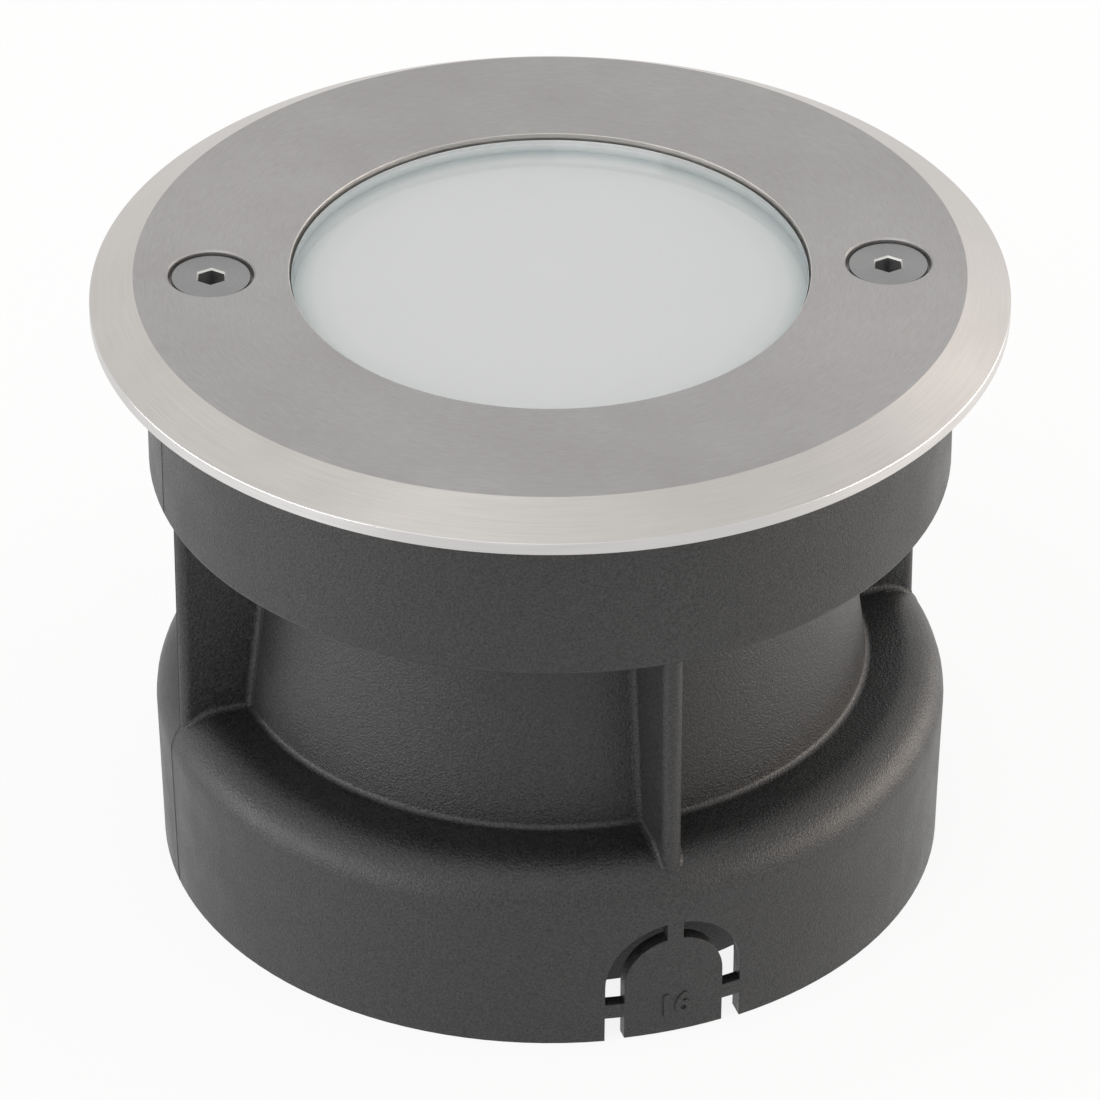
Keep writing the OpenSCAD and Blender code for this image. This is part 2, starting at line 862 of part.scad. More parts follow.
module driver_transformer() {
    color([0.85, 0.68, 0.2])
        on_driver(transformer_shares) {
            for (side = [-1, 1])
                translate([side * (coil_l - coil_flange_t) / 2 - coil_flange_t / 2, -coil_w / 2, 0])
                    cube([coil_flange_t, coil_w, driver_part_h]);
            translate([-coil_l / 2 + coil_flange_t / 2, coil_winding_inset - coil_w / 2, 0])
                cube([coil_l - coil_flange_t, coil_w - 2 * coil_winding_inset, winding_h]);
        }
}

module driver_capacitor() {
    color([0.12, 0.14, 0.3])
        on_driver(capacitor_shares) {
            rod(capacitor_r, 0, capacitor_crimp_h);
            rod(capacitor_r - capacitor_crimp, 0, driver_part_h);
            rod(capacitor_r, 2 * capacitor_crimp_h, driver_part_h - capacitor_crimp);
        }
}

module terminal_block() {
    color([0.2, 0.45, 0.3])
        on_driver(terminal_shares)
            difference() {
                translate([-terminal_l / 2, -terminal_w / 2, 0])
                    cube([terminal_l, terminal_w, driver_part_h]);
                for (i = [0:terminal_poles - 1])
                    translate([(i + 0.5) * terminal_l / terminal_poles - terminal_l / 2, 0, 0]) {
                        translate([0, 0, driver_part_h / 3])
                            rotate([90, 0, 0])
                                cylinder(r = terminal_hole_r, h = terminal_w / 2 + over);
                        rod(terminal_screw_r, driver_part_h - terminal_screw_sink, driver_part_h + over);
                    }
            }
}

// Cable gland in the floor of the can
module gland_washer() {
    color([0.1, 0.1, 0.1])
        ring(gland_r + gland_washer_w, gland_d / 2, can_foot - gland_washer_t, can_foot);
}

module gland_body() {
    color([0.14, 0.14, 0.14])
        difference() {
            union() {
                rod(gland_r, gland_hex_foot, can_floor_top + lock_nut_t + gland_stem_over);
                hexagon(gland_key, gland_hex_foot, can_foot - gland_washer_t);
                rod(gland_neck_r, gland_neck_foot, gland_hex_foot + over);
            }
            rod(gland_bore_r, gland_neck_foot - over, can_floor_top + lock_nut_t + gland_stem_over + over);
            rod(grommet_r + close_gap, gland_neck_foot - over, gland_neck_foot + grommet_h);
        }
}

module gland_lock_nut() {
    color([0.14, 0.14, 0.14])
        difference() {
            hexagon(gland_key, can_floor_top, can_floor_top + lock_nut_t);
            rod(gland_r + turn_gap, can_floor_top - over, can_floor_top + lock_nut_t + over);
        }
}

module gland_grommet() {
    color([0.25, 0.25, 0.25])
        ring(grommet_r, cable_hole_r, gland_neck_foot + close_gap, gland_neck_foot + grommet_h);
}

module gland_nut() {
    nut_top = gland_hex_foot - gland_nut_top_gap;
    round_x = gland_nut_key / 2 - gland_nut_round;
    round_z = gland_nut_foot + gland_nut_round;
    side_r = hex_r(gland_nut_key) + over;
    color([0.14, 0.14, 0.14])
        difference() {
            intersection() {
                hexagon(gland_nut_key, gland_nut_foot, nut_top);
                rotate_extrude()
                    polygon(concat(
                        [[0, gland_nut_foot]],
                        arc(round_x, round_z, gland_nut_round, 270, 360),
                        [
                            [side_r, round_z + gland_nut_round],
                            [side_r, nut_top],
                            [0, nut_top]
                        ]
                    ));
            }
            rod(gland_nut_mouth_r, gland_nut_foot - over, nut_top + over);
            rod(gland_neck_r + turn_gap, gland_neck_foot - turn_gap, nut_top + over);
        }
}

// Trim ring: turned stainless steel
module trim_ring() {
    trim_r = trim_d / 2;
    cone_top = trim_top - head_hole_h;
    cone_top_r = screw_head_r + cone_gap - (screw_top - screw_head_edge - cone_top);
    cone_h = cone_top_r - trim_hole_r;
    color([0.7, 0.69, 0.67])
        difference() {
            rotate_extrude()
                polygon([
                    [opening_r, trim_recess_top],
                    [trim_recess_r, trim_recess_top],
                    [trim_recess_r, sleeve_h],
                    [trim_r, sleeve_h],
                    [trim_r, sleeve_h + trim_band_h],
                    [trim_r - trim_bevel_w, trim_top],
                    [opening_r + trim_edge_break, trim_top],
                    [opening_r, trim_top - trim_edge_break]
                ]);
            at_trim_screws() {
                rod(head_hole_r, cone_top, trim_top + over);
                rod(trim_hole_r, sleeve_h - over, trim_top);
                translate([0, 0, cone_top - cone_h])
                    cylinder(r1 = trim_hole_r, r2 = cone_top_r, h = cone_h);
            }
        }
}

module trim_gasket() {
    color([0.12, 0.12, 0.12])
        difference() {
            ring(trim_gasket_r, trim_gasket_r - trim_gasket_w, clamp_top, sleeve_h);
            at_trim_screws()
                rod(retainer_r + close_gap, clamp_top - over, sleeve_h + over);
        }
}

// Push-on washers that keep the two screws in the trim ring
module screw_retainers() {
    color([0.9, 0.9, 0.86])
        at_trim_screws()
            ring(retainer_r, retainer_in_r, sleeve_h - retainer_t, sleeve_h);
}

// Countersunk screw with a hexagon socket
module trim_screw(side) {
    cone_foot = screw_top - screw_head_edge - (screw_head_r - screw_r);
    thread_top = sleeve_h - retainer_t - screw_plain_h;
    turns = floor((thread_top - screw_tip) / screw_pitch);
    color([0.62, 0.61, 0.6])
        rotate([0, 0, screw_turn + side])
            translate([screw_circle_r, 0, 0])
                difference() {
                    rotate_extrude()
                        polygon(concat(
                            [[0, screw_tip], [screw_root_r, screw_tip]],
                            [for (i = [1:2 * turns])
                                [i % 2 == 1 ? screw_r : screw_root_r, screw_tip + i * screw_pitch / 2]],
                            [
                                [screw_r, screw_tip + (turns + 0.5) * screw_pitch],
                                [screw_r, cone_foot],
                                [screw_head_r, screw_top - screw_head_edge],
                                [screw_head_r, screw_top - screw_edge_break],
                                [screw_head_r - screw_edge_break, screw_top],
                                [0, screw_top]
                            ]
                        ));
                    hexagon(screw_key, screw_top - screw_socket_h, screw_top + over);
                }
}

module left_trim_screw() {
    trim_screw(180);
}

module right_trim_screw() {
    trim_screw(0);
}

mounting_sleeve();
screw_inserts();
lamp_housing();
heat_sink_plate();
plate_screws();
thermal_pad();
led_board();
led_board_screws();
leds();
led_leads();
reflector();
diffuser();
glass_seal();
cover_glass();
clamp_ring();
clamp_screws();
driver_board();
driver_screws();
driver_transformer();
driver_capacitor();
terminal_block();
gland_washer();
gland_body();
gland_lock_nut();
gland_grommet();
gland_nut();
trim_ring();
trim_gasket();
screw_retainers();
left_trim_screw();
right_trim_screw();
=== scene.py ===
# In-ground well light: a room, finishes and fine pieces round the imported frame. The frame, the camera and
# the room are in metres. The pieces' lengths are in millimetres, and MM turns them to metres.
import math

import bmesh
import bpy
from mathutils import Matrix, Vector


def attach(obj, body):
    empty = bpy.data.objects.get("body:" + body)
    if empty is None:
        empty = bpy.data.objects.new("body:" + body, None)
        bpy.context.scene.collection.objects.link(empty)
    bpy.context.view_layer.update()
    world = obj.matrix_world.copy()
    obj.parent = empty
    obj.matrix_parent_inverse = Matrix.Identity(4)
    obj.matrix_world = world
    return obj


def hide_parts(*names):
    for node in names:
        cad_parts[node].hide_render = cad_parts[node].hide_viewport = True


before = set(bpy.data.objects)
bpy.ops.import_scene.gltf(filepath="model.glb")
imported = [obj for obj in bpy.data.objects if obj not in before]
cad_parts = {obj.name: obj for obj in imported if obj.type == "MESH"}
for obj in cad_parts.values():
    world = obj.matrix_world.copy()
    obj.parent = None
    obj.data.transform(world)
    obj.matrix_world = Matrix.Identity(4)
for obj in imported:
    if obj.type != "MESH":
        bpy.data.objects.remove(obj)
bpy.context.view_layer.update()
MM = 0.001


# Camera. The light is seen from 34 degrees above and from the left of its knock-out, through a long lens
# 0.98 m away, so that the circles of ring, collar and skirt keep almost the same proportions.
camera_lens = bpy.data.cameras.new("camera")
camera_lens.sensor_width = 36
camera_lens.lens = 260.05
camera = bpy.data.objects.new("camera", camera_lens)
camera.location = (-0.2490, -0.7663, 0.57834)
camera.rotation_euler = (math.radians(56.2), 0, math.radians(-18))
bpy.context.scene.collection.objects.link(camera)
bpy.context.scene.camera = camera
bpy.context.scene.view_settings.view_transform = "Standard"


# Room. A white paper floor runs into white surroundings. Camera, glossy and transmitted rays see both
# white, and the floor keeps the light's own soft shadow. A softbox hangs high at the left front, a weak one
# at the right, and a long strip stands on the floor at either side. The two at the right are warmer.
def linear(colour):
    """An sRGB hex colour as the linear values a shader takes."""
    parts = [int(colour[i : i + 2], 16) / 255 for i in (1, 3, 5)]
    return (*[c / 12.92 if c <= 0.04045 else ((c + 0.055) / 1.055) ** 2.4 for c in parts], 1)


def add(tree, kind, settings, links):
    """One shader node with its settings, each input in links fed by the socket given for it."""
    node = tree.nodes.new("ShaderNode" + kind)
    for key, value in settings.items():
        if isinstance(key, int) or key in node.inputs:
            node.inputs[key].default_value = value
        else:
            setattr(node, key, value)
    for key, source in links.items():
        tree.links.new(source, node.inputs[key])
    return node


def white_to_the_eye(tree):
    """1 for rays that show the background to the camera, straight, mirrored or through glass, else 0."""
    path = add(tree, "LightPath", {}, {}).outputs
    mirrored = add(tree, "Math", {"operation": "MAXIMUM"},
                   {0: path["Is Camera Ray"], 1: path["Is Glossy Ray"]})
    return add(tree, "Math", {"operation": "MAXIMUM"},
               {0: mirrored.outputs[0], 1: path["Is Transmission Ray"]}).outputs[0]


AMBIENT = 0.81
room = bpy.data.worlds.new("white_room")
bpy.context.scene.world = room
room.use_nodes = True
room.cycles.sampling_method = "NONE"
sky = room.node_tree
strength = add(sky, "MapRange", {"To Min": AMBIENT, "To Max": 1.0}, {"Value": white_to_the_eye(sky)})
sky.nodes["Background"].inputs["Color"].default_value = linear("#ffffff")
sky.links.new(strength.outputs[0], sky.nodes["Background"].inputs["Strength"])

FLOOR_REACH = 5.0  # metres
FLOOR_GLOW = 0.88  # share of plain white in what the eye sees of the floor
paper = bpy.data.materials.new("white_paper")
paper.use_nodes = True
paper.cycles.emission_sampling = "NONE"
sheet = paper.node_tree
sheet.nodes.remove(sheet.nodes["Principled BSDF"])
share = add(sheet, "Math", {"operation": "MULTIPLY", 1: FLOOR_GLOW}, {0: white_to_the_eye(sheet)})
matt = add(sheet, "BsdfDiffuse", {"Color": linear("#f8f8f6")}, {})
glow = add(sheet, "Emission", {"Color": linear("#ffffff"), "Strength": 1.0}, {})
both = add(sheet, "MixShader", {}, {0: share.outputs[0], 1: matt.outputs[0], 2: glow.outputs[0]})
sheet.links.new(both.outputs[0], sheet.nodes["Material Output"].inputs["Surface"])
floor_corners = [(x * FLOOR_REACH, y * FLOOR_REACH, 0) for x, y in ((-1, -1), (1, -1), (1, 1), (-1, 1))]
floor_mesh = bpy.data.meshes.new("floor")
floor_mesh.from_pydata(floor_corners, [], [(0, 1, 2, 3)])
floor_mesh.materials.append(paper)
floor = bpy.data.objects.new("floor", floor_mesh)
bpy.context.scene.collection.objects.link(floor)

AIM = Vector((0, 0, 0.06))
# Each lamp's place and size in metres, how bright its face is, and its tint.
for name, spot, size, radiance, tint in (
    ("softbox_front", (-0.45, -0.45, 0.85), (0.8, 0.8), 0.6, "#ffffff"),
    ("softbox_right", (0.80, 0.42, 0.50), (0.9, 0.7), 0.22, "#fff4ea"),
    ("strip_left", (-0.85, 0.02, 0.09), (1.1, 0.16), 7.5, "#ffffff"),
    ("strip_right", (0.86, -0.16, 0.09), (1.1, 0.16), 10.5, "#fff2e6"),
):
    lamp = bpy.data.lights.new(name, "AREA")
    lamp.shape = "RECTANGLE"
    lamp.size, lamp.size_y = size
    lamp.energy = radiance * math.pi * size[0] * size[1]
    lamp.color = linear(tint)[:3]
    softbox = bpy.data.objects.new(name, lamp)
    softbox.location = spot
    softbox.rotation_euler = (AIM - softbox.location).to_track_quat("-Z", "Y").to_euler()
    bpy.context.scene.collection.objects.link(softbox)


# Mounting sleeve. One moulding in black glass-filled polypropylene that stays in the ground: collar, waist,
# four ribs and a skirt with knock-outs. The spark-eroded steel of the mould gives it an even, matt grain,
# and the two mould halves leave a hair-thin line down its sides.
def start_material(name, settings):
    """A new material: itself, its node tree, its shader with these settings, and the place in metres."""
    made = bpy.data.materials.new(name)
    made.use_nodes = True
    tree = made.node_tree
    shader = tree.nodes["Principled BSDF"]
    for key, value in settings.items():
        shader.inputs[key].default_value = value
    place = add(tree, "TexCoord", {}, {}).outputs["Object"]
    return made, tree, shader, place


def speckle(tree, place, size, detail=2.0, rough=0.5):
    """Noise whose lumps are about size mm across."""
    return add(tree, "TexNoise", {"Scale": 1 / (size * MM), "Detail": detail, "Roughness": rough},
               {"Vector": place}).outputs["Fac"]


NOISE_LOW, NOISE_HIGH = 0.3, 0.7  # noise hardly leaves this range


def drift(tree, shader, pattern, dark, light):
    """The colour drifts from dark to light with the pattern."""
    spread = add(tree, "MapRange", {"From Min": NOISE_LOW, "From Max": NOISE_HIGH}, {"Value": pattern})
    mixed = add(tree, "Mix", {"data_type": "RGBA", 6: linear(dark), 7: linear(light)},
                {0: spread.outputs[0]})
    tree.links.new(mixed.outputs[2], shader.inputs["Base Color"])


def dull(tree, shader, pattern, low, high):
    """The roughness runs from low to high with the pattern."""
    spread = add(tree, "MapRange",
                 {"From Min": NOISE_LOW, "From Max": NOISE_HIGH, "To Min": low, "To Max": high},
                 {"Value": pattern})
    tree.links.new(spread.outputs[0], shader.inputs["Roughness"])


def emboss(tree, shader, pattern, depth, edge=0.0):
    """The pattern as relief of depth mm, with edges that catch light as if eased by edge mm."""
    bump = add(tree, "Bump", {"Strength": 1.0, "Distance": depth * MM}, {"Height": pattern})
    if edge:
        eased = add(tree, "Bevel", {"samples": 4, "Radius": edge * MM}, {})
        tree.links.new(eased.outputs[0], bump.inputs["Normal"])
    tree.links.new(bump.outputs[0], shader.inputs["Normal"])


PLASTIC_PATCH, PLASTIC_SPREAD = 6, 0.05


def moulded(name, dark, light, rough, grain, depth, edge, ior=1.5):
    """Moulded plastic: a fine grain in relief, darker in its pits, with duller and brighter patches."""
    made, tree, shader, place = start_material(name, {"IOR": ior})
    grains = speckle(tree, place, grain, rough=0.6)
    drift(tree, shader, grains, dark, light)
    patches = speckle(tree, place, PLASTIC_PATCH, detail=3)
    dull(tree, shader, patches, rough - PLASTIC_SPREAD, rough + PLASTIC_SPREAD)
    emboss(tree, shader, grains, depth, edge)
    return made


def dress(made, *nodes):
    """Gives CAD nodes a material."""
    for node in nodes:
        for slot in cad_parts[node].material_slots:
            slot.material = made


def add_piece(name, mesh, made, body):
    """A finished mesh as a piece that rides on a body and takes its finish from a slot."""
    mesh.materials.append(made)
    piece = bpy.data.objects.new(name, mesh)
    bpy.context.scene.collection.objects.link(piece)
    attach(piece, body)
    return piece


def smooth(piece, crease=35):
    """Smooth shading that keeps edges of more than crease degrees, with flat faces left flat."""
    piece.data.shade_smooth()
    piece.data.set_sharp_from_angle(angle=math.radians(crease))
    piece.modifiers.new("even_normals", "WEIGHTED_NORMAL").keep_sharp = True


SAME_PLACE = 0.001  # corners closer than this are one


def merged(name, node):
    """The CAD node's faces as one mesh, whose rounded corners can be shaded as rounds."""
    work = bmesh.new()
    work.from_mesh(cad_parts[node].data)
    bmesh.ops.remove_doubles(work, verts=work.verts, dist=SAME_PLACE * MM)
    work.verts.index_update()
    made = bpy.data.meshes.new(name)
    made.from_pydata([v.co for v in work.verts], [], [[v.index for v in f.verts] for f in work.faces])
    work.free()
    return made


SLEEVE_GRAIN = 0.27  # the eroded grain is about 0.1 mm, drawn coarser so that it shows
black_polypropylene = moulded("black_polypropylene_spark_eroded", "#040404", "#353434", rough=0.42,
                              grain=SLEEVE_GRAIN, depth=0.1, edge=0.2)
sleeve = add_piece("mounting_sleeve_moulding", merged("mounting_sleeve_moulding", "mounting_sleeve"),
                   black_polypropylene, "sleeve")
smooth(sleeve, crease=25)
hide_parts("mounting_sleeve")


def closed_mesh(name, verts, faces):
    """A mesh from corners in metres and faces, with every face turned outwards."""
    made = bpy.data.meshes.new(name)
    made.from_pydata(verts, [], faces)
    work = bmesh.new()
    work.from_mesh(made)
    bmesh.ops.recalc_face_normals(work, faces=work.faces)
    work.to_mesh(made)
    work.free()
    return made


# The mould's line runs up skirt, rib edge and collar in the plane of the side ribs, as a low ridge.
# The outlines of sleeve and ribs are (radius, height) points.
LINE_WIDTH = 0.16
LINE_RISE = 0.05
LINE_ROOT = 0.15
SKIRT_FOOT = (48.0, 0.0)
SHOULDER_CENTRE, SHOULDER_ROUND, SHOULDER_STEPS = (43.0, 19.5), 5.5, 6
RIB_EDGE = 47.3
COLLAR_FOOT = 53.8
COLLAR_CORNER = ((47.9, COLLAR_FOOT), (48.32, 53.98), (48.5, 54.4))
COLLAR_TOP = (48.5, 75.0)
rib_meets = math.acos((RIB_EDGE - SHOULDER_CENTRE[0]) / SHOULDER_ROUND)
shoulder_arc = [(SHOULDER_CENTRE[0] + SHOULDER_ROUND * math.cos(rib_meets * k / SHOULDER_STEPS),
                 SHOULDER_CENTRE[1] + SHOULDER_ROUND * math.sin(rib_meets * k / SHOULDER_STEPS))
                for k in range(SHOULDER_STEPS + 1)]
side_outline = [SKIRT_FOOT, *shoulder_arc, (RIB_EDGE, COLLAR_FOOT), *COLLAR_CORNER, COLLAR_TOP]
for side, toward in (("left", -1), ("right", 1)):
    verts = []
    for r, z in side_outline:
        verts += [(toward * x * MM, y * MM, z * MM) for x, y in (
            (r - LINE_ROOT, -LINE_WIDTH / 2), (r + LINE_RISE, 0), (r - LINE_ROOT, LINE_WIDTH / 2))]
    faces = [(0, 1, 2), (len(verts) - 1, len(verts) - 2, len(verts) - 3)]
    for i in range(0, len(verts) - 3, 3):
        faces += [(i + a, i + b, i + b + 3, i + a + 3) for a, b in ((0, 1), (1, 2), (2, 0))]
    ridge = closed_mesh("mould_line_" + side, verts, faces)
    add_piece("mould_line_" + side, ridge, black_polypropylene, "sleeve")

# Each rib's foot is rounded into the shoulder. From where the shoulder bends down, the fillet runs on along
# the bend and gets finer towards the rib's rounded edge.
RIB_HALF = 1.2
RIB_NOSE = RIB_EDGE - RIB_HALF
FILLET, FILLET_END = 0.8, 0.3
FILLET_BURIED = 0.3  # how far it reaches into rib and shoulder
FILLET_FROM = SHOULDER_CENTRE[0] - 0.02
FILLET_RUN = RIB_EDGE - 0.35 - SHOULDER_CENTRE[0]
FILLET_STEPS, HOLLOW_STEPS = 12, 6
stations = []
for k in range(FILLET_STEPS + 1):
    r = FILLET_FROM + FILLET_RUN * k / FILLET_STEPS
    bend = math.asin(max(0, r - SHOULDER_CENTRE[0]) / SHOULDER_ROUND)
    flank = RIB_HALF if r < RIB_NOSE else math.sqrt(RIB_HALF ** 2 - (r - RIB_NOSE) ** 2)
    stations.append((bend, flank, FILLET + (FILLET_END - FILLET) * k / FILLET_STEPS))
verts, faces = [], []
for quarter in range(4):
    for side in (-1, 1):
        first = len(verts)
        for bend, flank, size in stations:
            turns = [math.radians(90 * k / HOLLOW_STEPS) for k in range(HOLLOW_STEPS + 1)]
            hollow = [(size - size * math.cos(turn), size - size * math.sin(turn)) for turn in turns]
            section = [(-FILLET_BURIED, -FILLET_BURIED), (-FILLET_BURIED, size), *hollow,
                       (size, -FILLET_BURIED)]
            for out, up in section:
                r = SHOULDER_CENTRE[0] + (SHOULDER_ROUND + up) * math.sin(bend)
                z = SHOULDER_CENTRE[1] + (SHOULDER_ROUND + up) * math.cos(bend)
                y = side * (flank + out)
                x, y = ((r, y), (-y, r), (-r, -y), (y, -r))[quarter]
                verts.append((x * MM, y * MM, z * MM))
        per_ring = (len(verts) - first) // len(stations)
        ends = (first, len(verts) - per_ring)
        faces += [tuple(range(end, end + per_ring)) for end in ends]
        for ring in range(first, ends[1], per_ring):
            faces += [(ring + a, ring + b, ring + b + per_ring, ring + a + per_ring)
                      for a, b in zip(range(per_ring), [*range(1, per_ring), 0])]
rib_feet = add_piece("rib_feet", closed_mesh("rib_feet", verts, faces), black_polypropylene,
                     "sleeve")
smooth(rib_feet)

# The tabs that break out for a conduit show the conduit's size in plain raised figures.
TAB_FACE, FIGURE_FOOT = 48.05, 2.8
figures = bpy.data.curves.new("conduit_size", "FONT")
figures.body = "16"
figures.size = 4.2 * MM
figures.offset = 0.08 * MM
figures.extrude = 0.18 * MM
figures.bevel_depth = 0.05 * MM
figures.align_x = "CENTER"
figures.materials.append(black_polypropylene)
for side, toward, turn in (("front", -1, 0), ("back", 1, 180)):
    size_mark = bpy.data.objects.new("conduit_size_" + side, figures)
    size_mark.location = (0, toward * TAB_FACE * MM, FIGURE_FOOT * MM)
    size_mark.rotation_euler = (math.radians(90), 0, math.radians(turn))
    bpy.context.scene.collection.objects.link(size_mark)
    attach(size_mark, "sleeve")


# Screw inserts. Two turned brass bushes pressed into the sleeve's screw towers. Their knurled outside
# grips the plastic, and the yellow metal is bright where the tool cut it.
def turning_marks(tree, place, spacing, runs, centre=(0, 0)):
    """Noise that changes every spacing mm across the radius and down a wall, and slowly round the turn.
    The more runs, the shorter the marks."""
    middle = add(tree, "Mapping", {"Location": (-centre[0] * MM, -centre[1] * MM, 0)}, {"Vector": place})
    flat = add(tree, "VectorMath", {"operation": "MULTIPLY", 1: (1, 1, 0)}, {0: middle.outputs[0]})
    radius = add(tree, "VectorMath", {"operation": "LENGTH"}, {0: flat.outputs[0]}).outputs["Value"]
    height = add(tree, "SeparateXYZ", {}, {0: middle.outputs[0]}).outputs["Z"]
    across = add(tree, "Math", {"operation": "SUBTRACT"}, {0: radius, 1: height})
    lines = add(tree, "Math", {"operation": "MULTIPLY", 1: 1 / (spacing * MM)}, {0: across.outputs[0]})
    upright = add(tree, "CombineXYZ", {}, {"Z": lines.outputs[0]})
    way = add(tree, "VectorMath", {"operation": "NORMALIZE"}, {0: flat.outputs[0]})
    turned_way = add(tree, "VectorMath", {"operation": "MULTIPLY_ADD", 1: (runs, runs, 0)},
                     {0: way.outputs[0], 2: upright.outputs[0]})
    return add(tree, "TexNoise", {"Scale": 1.0, "Detail": 3.0, "Roughness": 0.65},
               {"Vector": turned_way.outputs[0]}).outputs["Fac"]


TOOL_RUNS = 2.5
TOOLED_PATCH, TOOLED_SPREAD = 5, 0.06
TOOLED_EDGE = 0.12


def machined(name, dark, light, rough, spacing, depth, centre=(0, 0)):
    """Bare metal cut by a tool: fine rings in relief round a centre, with duller and brighter patches."""
    made, tree, shader, place = start_material(name, {"Metallic": 1.0})
    marks = turning_marks(tree, place, spacing, TOOL_RUNS, centre)
    drift(tree, shader, marks, dark, light)
    patches = speckle(tree, place, TOOLED_PATCH, detail=3)
    dull(tree, shader, patches, rough - TOOLED_SPREAD, rough + TOOLED_SPREAD)
    emboss(tree, shader, marks, depth, TOOLED_EDGE)
    return made


dress(machined("brass_turned", "#b08a4a", "#c9a766", rough=0.28, spacing=0.3, depth=0.006), "screw_inserts")


# Lamp housing. A finned can with a flange, pressure die-cast in aluminium and powder coated in grey, which
# leaves a fine orange-peel skin over the casting.
powder_coat = moulded("grey_powder_coat_on_die_cast_aluminium", "#7d7f82", "#888a8c", rough=0.42,
                      grain=0.7, depth=0.02, edge=0.25)
dress(powder_coat, "lamp_housing")


# Heat sink plate. A sawn and face-milled disc of plain aluminium, whose cutter left wide shallow arcs. Three
# screws hold it on bosses in the lamp housing.
ARCS_CENTRE = (60, -25)  # beside the piece
milled_aluminium = machined("aluminium_face_milled", "#bfc0c1", "#d2d3d4", rough=0.32, spacing=0.5,
                            depth=0.006, centre=ARCS_CENTRE)
dress(milled_aluminium, "heat_sink_plate")


# Small screws. Zinc-plated steel, barrelled and passivated, with a faint blue-white bloom. They hold the
# clamp ring, the heat sink plate and the two boards.
BLOOM_SIZE, HAZE_SIZE, PIT_SIZE = 2.5, 1.2, 0.3
PIT_DEPTH, BARRELLED_EDGE = 0.006, 0.1
HAZE_LESS, HAZE_MORE = 0.06, 0.08


def barrelled(name, dark, light, rough):
    """Barrelled metal: a soft bloom in patches over a slightly pitted surface."""
    made, tree, shader, place = start_material(name, {"Metallic": 1.0})
    drift(tree, shader, speckle(tree, place, BLOOM_SIZE, detail=3), dark, light)
    dull(tree, shader, speckle(tree, place, HAZE_SIZE), rough - HAZE_LESS, rough + HAZE_MORE)
    emboss(tree, shader, speckle(tree, place, PIT_SIZE), PIT_DEPTH, BARRELLED_EDGE)
    return made


dress(barrelled("zinc_plated_steel", "#b4b9c0", "#c8cbcd", rough=0.3),
      "plate_screws", "led_board_screws", "clamp_screws", "driver_screws")


# Thermal pad. Soft silicone filled with ceramic powder, matt and pale. The diode board's screws press it
# down on the heat sink plate.
pad_silicone = moulded("ceramic_filled_silicone", "#a9b1bb", "#b7bec7", rough=0.7, grain=0.25, depth=0.012,
                       edge=0.1, ior=1.42)
dress(pad_silicone, "thermal_pad")


# Diode board. Aluminium core under white solder mask. The copper tracks under the mask, about 3.5 mm apart,
# stand up a little and join the ring of diodes.
solder_mask, mask, mask_shader, mask_place = start_material("white_solder_mask", {"IOR": 1.52})
track = add(mask, "TexWave",
            {"wave_type": "RINGS", "rings_direction": "Z", "Scale": 90.0, "Distortion": 1.2,
             "Detail": 1.0, "Detail Scale": 60.0}, {"Vector": mask_place})
drift(mask, mask_shader, track.outputs["Fac"], "#e8e8e4", "#f3f3ef")
dull(mask, mask_shader, speckle(mask, mask_place, 2), 0.28, 0.36)
emboss(mask, mask_shader, track.outputs["Fac"], 0.03, 0.08)
dress(solder_mask, "led_board")


# Diodes. Small square packages under yellow phosphor in clear silicone, soldered to the board in a ring,
# with one in the middle.
phosphor, chip, chip_shader, chip_place = start_material("phosphor_in_silicone",
                                                         {"IOR": 1.41, "Roughness": 0.2})
powder = speckle(chip, chip_place, 0.25, detail=3, rough=0.7)
drift(chip, chip_shader, powder, "#e0b43c", "#f2cf63")
emboss(chip, chip_shader, powder, 0.01)
dress(phosphor, "leds")


# Leads. Two stranded wires in red silicone insulation, soft and slightly glossy. They run from the driver
# board up to the diode board.
red_insulation = moulded("red_silicone_insulation", "#b01f1c", "#c02723", rough=0.35, grain=0.4, depth=0.01,
                         edge=0.0, ior=1.42)
dress(red_insulation, "led_leads")


# Reflector. White polycarbonate, moulded and left satin so that it scatters the light evenly. It stands on
# the diode board and carries the diffuser.
satin_polycarbonate = moulded("white_polycarbonate", "#eeeeea", "#f5f5f2", rough=0.38, grain=0.35,
                              depth=0.008, edge=0.15, ior=1.58)
dress(satin_polycarbonate, "reflector")


# Diffuser. A disc cut from opal acrylic, which lets light through and hides the diodes. It lies on the
# reflector's rim.
opal, cast, cast_shader, cast_place = start_material("opal_acrylic",
                                                     {"IOR": 1.49, "Transmission Weight": 0.25})
drift(cast, cast_shader, speckle(cast, cast_place, 9), "#e9eeeb", "#f0f4f1")
dull(cast, cast_shader, speckle(cast, cast_place, 1.5), 0.4, 0.5)
emboss(cast, cast_shader, speckle(cast, cast_place, 0.3), 0.004, 0.1)
dress(opal, "diffuser")


# Seals. Silicone and rubber rings: dark, soft, with the dusty bloom that moulded rubber has. One is folded
# round the glass, one lies under the trim ring, and two are in the cable gland.
bloomed_rubber = moulded("silicone_rubber_moulded", "#1c1c1d", "#2b2b2b", rough=0.68, grain=0.3,
                         depth=0.012, edge=0.12)
dress(bloomed_rubber, "glass_seal", "gland_washer", "gland_grommet", "trim_gasket")


# Cover glass. A disc of tempered float glass, ground to a step at its rim, with a clear, polished face.
# Some 4 mm down it is satin, so the light comes out of a pale, milky layer. Its colour has a painted
# shade, darker and greener towards the rim of the clear face.
ARC_STEPS = 5


